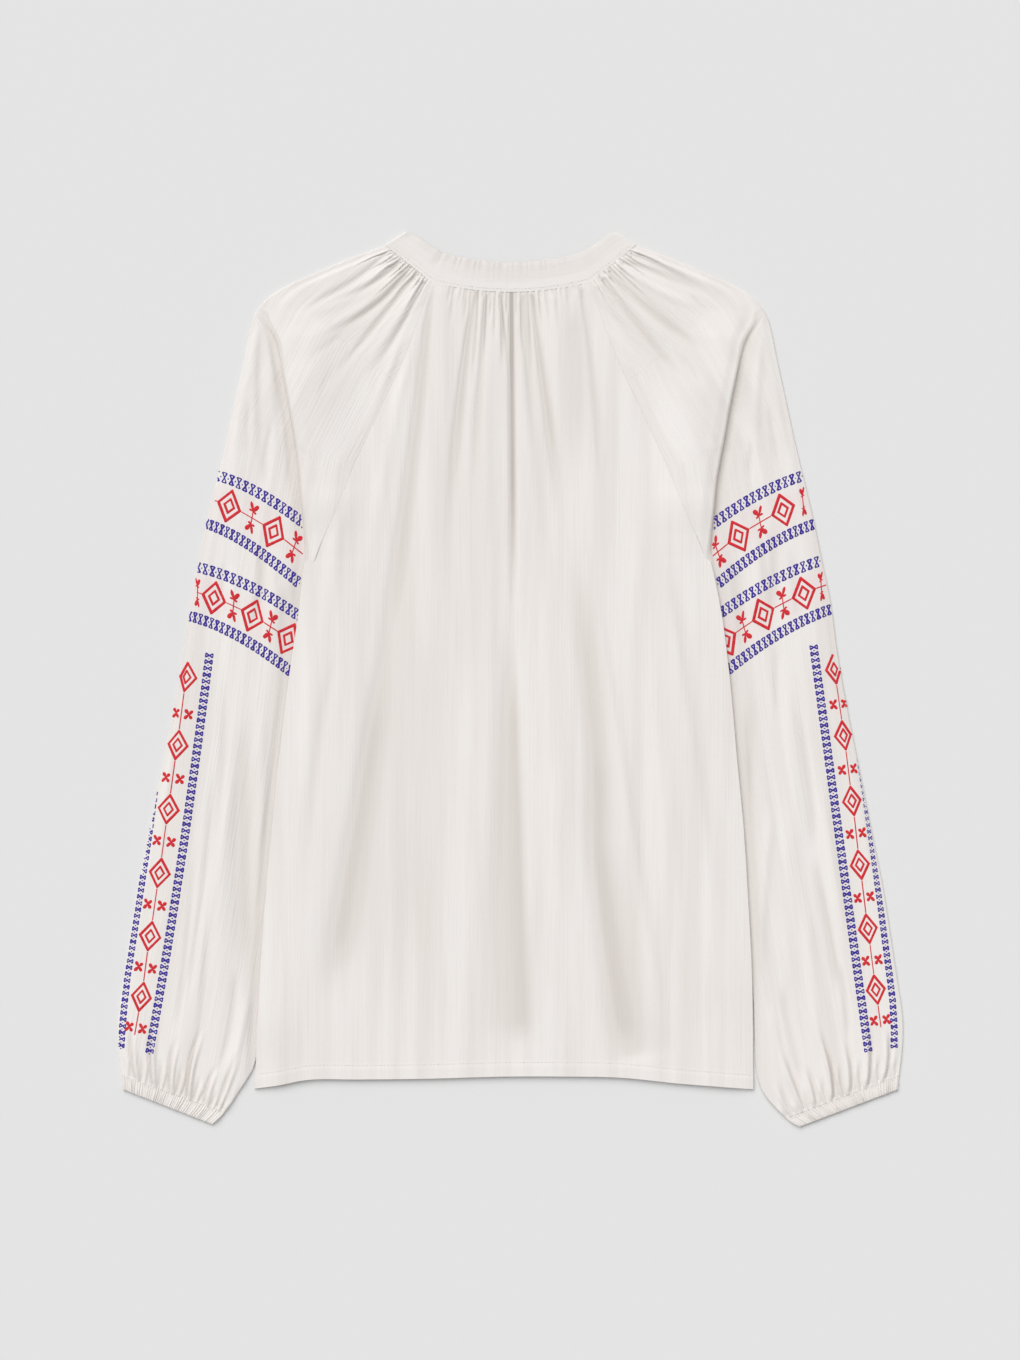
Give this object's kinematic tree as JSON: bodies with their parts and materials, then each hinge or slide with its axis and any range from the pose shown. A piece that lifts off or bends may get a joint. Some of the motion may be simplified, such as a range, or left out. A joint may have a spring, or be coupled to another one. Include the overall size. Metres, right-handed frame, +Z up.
{
  "type": "embroidered blouse",
  "caption": "Long-sleeved raglan blouse with gathered neckband and elastic cuffs, worn on the upper body, shown laid flat with its back up.",
  "frame": {"origin": "on the surface the blouse lies on, under the middle of its outline", "axes": "+Z up out of the back panel, +Y from the hem towards the neckband, +X to the right of the back as it is seen from above"},
  "size_m": [0.6592, 0.7532, 0.0101],
  "materials": {
    "cloth": "matt white crepe",
    "band": "matt white crepe, two layers",
    "casing": "matt white crepe, gathered by elastic"
  },
  "bodies": {
    "root": {"back": "cloth", "front": "cloth", "sleeve_left": "cloth", "sleeve_right": "cloth", "neckband": "band", "cuff_left": "casing", "cuff_right": "casing"}
  },
  "joints": []
}
